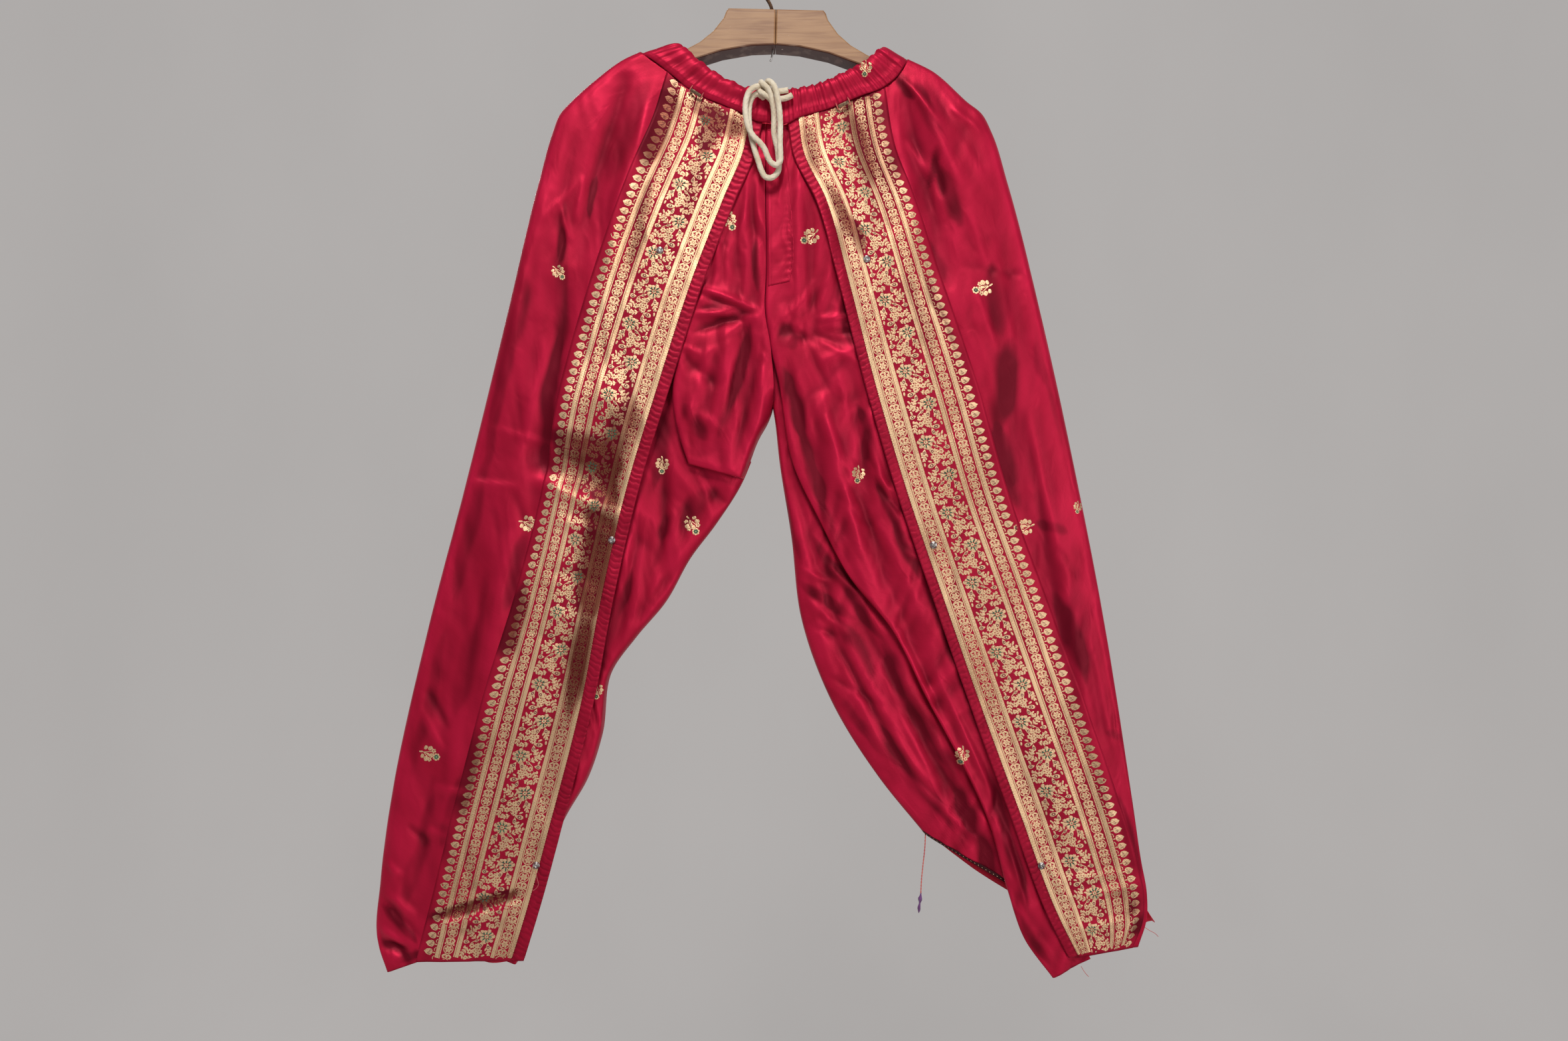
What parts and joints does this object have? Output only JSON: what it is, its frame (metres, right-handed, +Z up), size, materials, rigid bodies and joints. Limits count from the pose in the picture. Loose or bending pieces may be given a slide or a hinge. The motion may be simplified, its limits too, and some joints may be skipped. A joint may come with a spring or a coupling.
{
  "type": "dhoti pants on a hanger",
  "caption": "Silk dhoti pants with gathered drawstring waist, broad woven gold bands and draped legs, hung flat on a wooden hanger with a wire hook.",
  "frame": {"origin": "inside of the hook's bend, where it hangs on a rail", "axes": "+Z up, +X to the right of someone looking at the front, the front faces -Y"},
  "size_m": [0.8115, 0.0689, 1.0676],
  "materials": {
    "crimson_silk": "satin",
    "gold_zari": "woven metallic thread",
    "cotton_cord": "matte braid",
    "pink_thread": "matte",
    "stud_steel": "dull",
    "bar_brass": "tarnished",
    "light_wood": "thin varnish",
    "brown_wire": "browned"
  },
  "bodies": {
    "root": {"back_left": "crimson_silk", "back_right": "crimson_silk", "band_hem_left": "crimson_silk", "band_hem_right": "crimson_silk", "band_left": "gold_zari", "band_right": "gold_zari", "casing_back": "crimson_silk", "casing_front_left": "crimson_silk", "casing_front_right": "crimson_silk", "drape_hem": "crimson_silk", "drape_right": "crimson_silk", "drawstring_end_lower": "cotton_cord", "drawstring_end_upper": "cotton_cord", "drawstring_knot": "cotton_cord", "drawstring_loop_back": "cotton_cord", "drawstring_loop_front": "cotton_cord", "fly_placket": "crimson_silk", "front_right": "crimson_silk", "hanger_hook": "brown_wire", "hanger_left": "light_wood", "hanger_pin": "brown_wire", "hanger_right": "light_wood", "hem_turn_right": "crimson_silk", "hook_bar_left": "bar_brass", "hook_bar_right": "bar_brass", "leg_front_left": "crimson_silk", "placket_left": "crimson_silk", "placket_right": "crimson_silk", "seat_front_left": "crimson_silk", "side_panel_left": "crimson_silk", "side_panel_right": "crimson_silk", "snap_left_1": "stud_steel", "snap_left_2": "stud_steel", "snap_left_3": "stud_steel", "snap_right_1": "stud_steel", "snap_right_2": "stud_steel", "snap_right_3": "stud_steel", "thread_knot": "pink_thread", "thread_tail": "pink_thread"}
  },
  "joints": []
}
